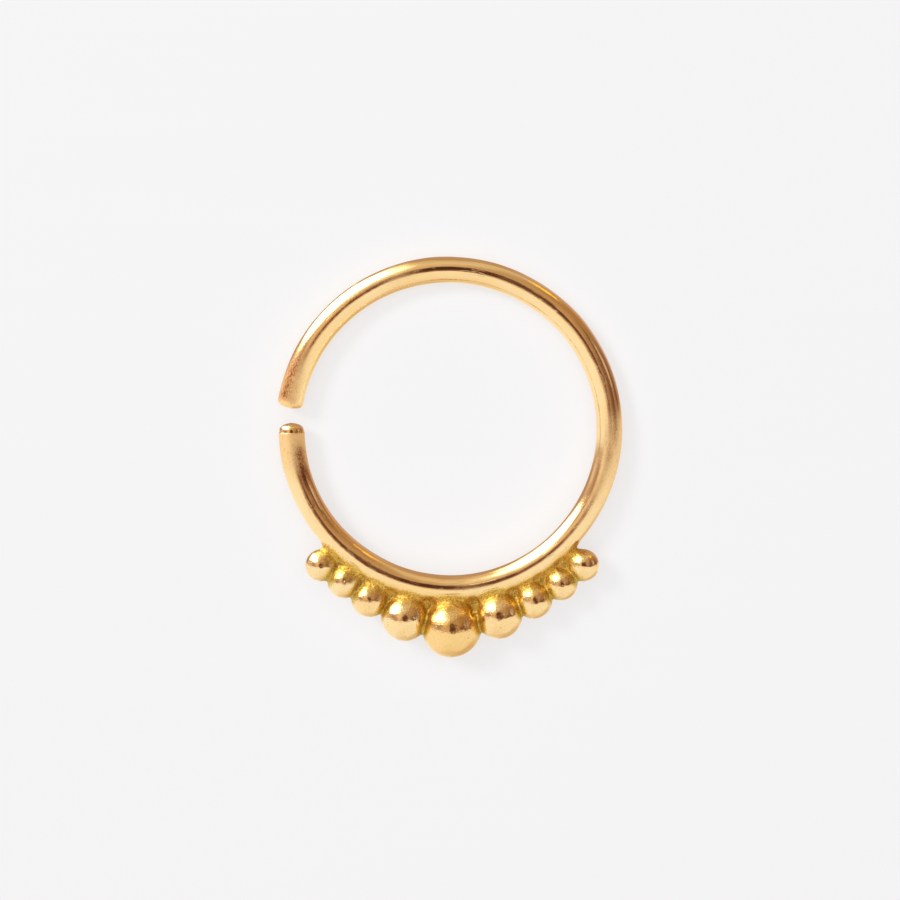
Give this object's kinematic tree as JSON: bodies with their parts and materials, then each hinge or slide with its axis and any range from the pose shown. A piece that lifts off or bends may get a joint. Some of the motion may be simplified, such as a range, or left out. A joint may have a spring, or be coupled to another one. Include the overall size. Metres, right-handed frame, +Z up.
{
  "type": "nose ring",
  "caption": "Open hoop of round wire with a row of graduated beads soldered along the outside of its lower arc, largest in the middle.",
  "frame": {"origin": "on the surface that the ring lies on, under the centre of its bounding box", "axes": "+Z up, out of the surface and out of the ring's front, +Y away from the beads across the hoop, +X to the right seen from above, with the gap between the wire's ends at -X"},
  "size_m": [0.0106, 0.0124, 0.0018],
  "materials": {
    "gold": "polished yellow gold, softly worn, satin on the beads"
  },
  "bodies": {
    "root": {"beaded_hoop": "gold"}
  },
  "joints": []
}
